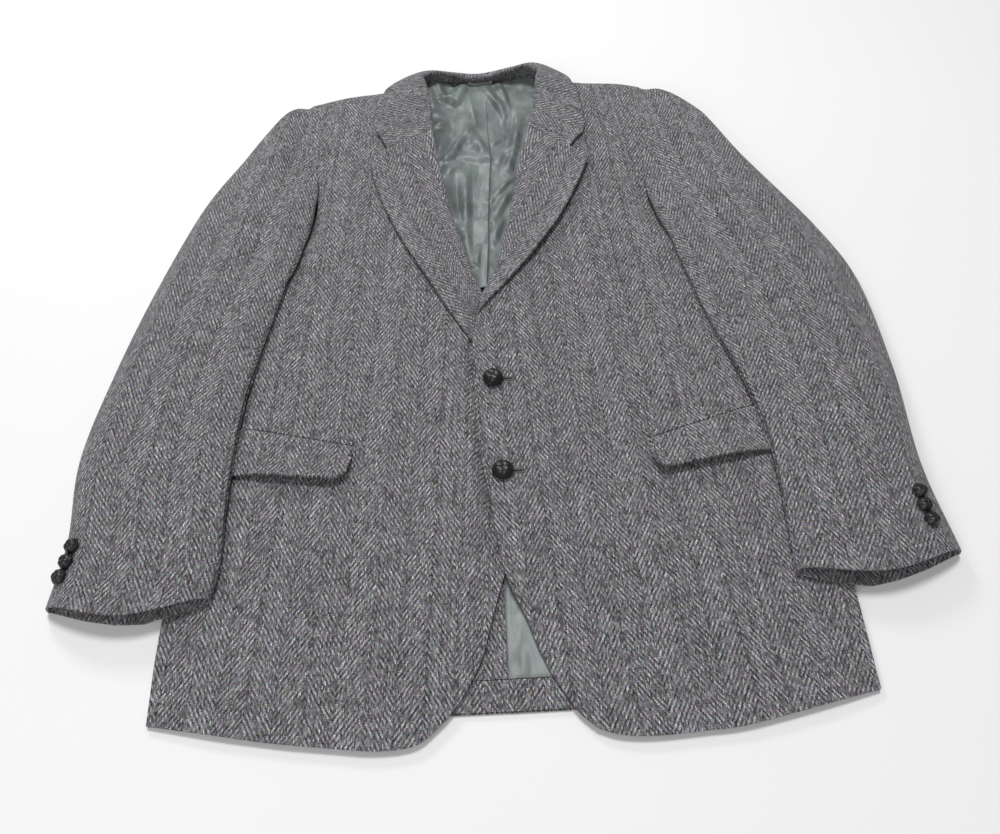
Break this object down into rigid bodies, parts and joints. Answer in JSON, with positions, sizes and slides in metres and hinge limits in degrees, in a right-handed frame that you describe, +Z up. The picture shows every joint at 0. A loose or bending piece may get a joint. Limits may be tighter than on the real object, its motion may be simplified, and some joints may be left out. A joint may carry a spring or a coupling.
{
  "type": "tweed jacket laid flat",
  "caption": "Single-breasted herringbone tweed jacket with notch lapels, flap pockets and leather buttons, laid flat on its back.",
  "frame": {"origin": "middle of the outline, on the surface that the back rests on", "axes": "+Z up out of the surface, +Y from the hem to the neck, -X the wearer's right side, +X the wearer's left side"},
  "size_m": [0.8127, 0.885, 0.0466],
  "materials": {
    "tweed": "woollen herringbone, light grey and charcoal yarns",
    "lining": "grey-green satin",
    "button_leather": "woven dark leather, semi-gloss"
  },
  "bodies": {
    "root": {"front_right": "tweed", "front_left": "tweed", "back_right": "tweed", "back_left": "tweed", "lapel_right": "tweed", "lapel_left": "tweed", "collar": "tweed", "topsleeve_right": "tweed", "topsleeve_left": "tweed", "undersleeve_right": "tweed", "undersleeve_left": "tweed", "pocket_flap_right": "tweed", "pocket_flap_left": "tweed", "pocket_jet_right": "tweed", "pocket_jet_left": "tweed", "back_hem_facing": "tweed", "vent_facing": "tweed", "skirt_lining": "lining", "neck_lining": "lining", "front_button_1": "button_leather", "front_button_2": "button_leather", "cuff_button_right_1": "button_leather", "cuff_button_right_2": "button_leather", "cuff_button_right_3": "button_leather", "cuff_button_left_1": "button_leather", "cuff_button_left_2": "button_leather", "cuff_button_left_3": "button_leather"}
  },
  "joints": []
}
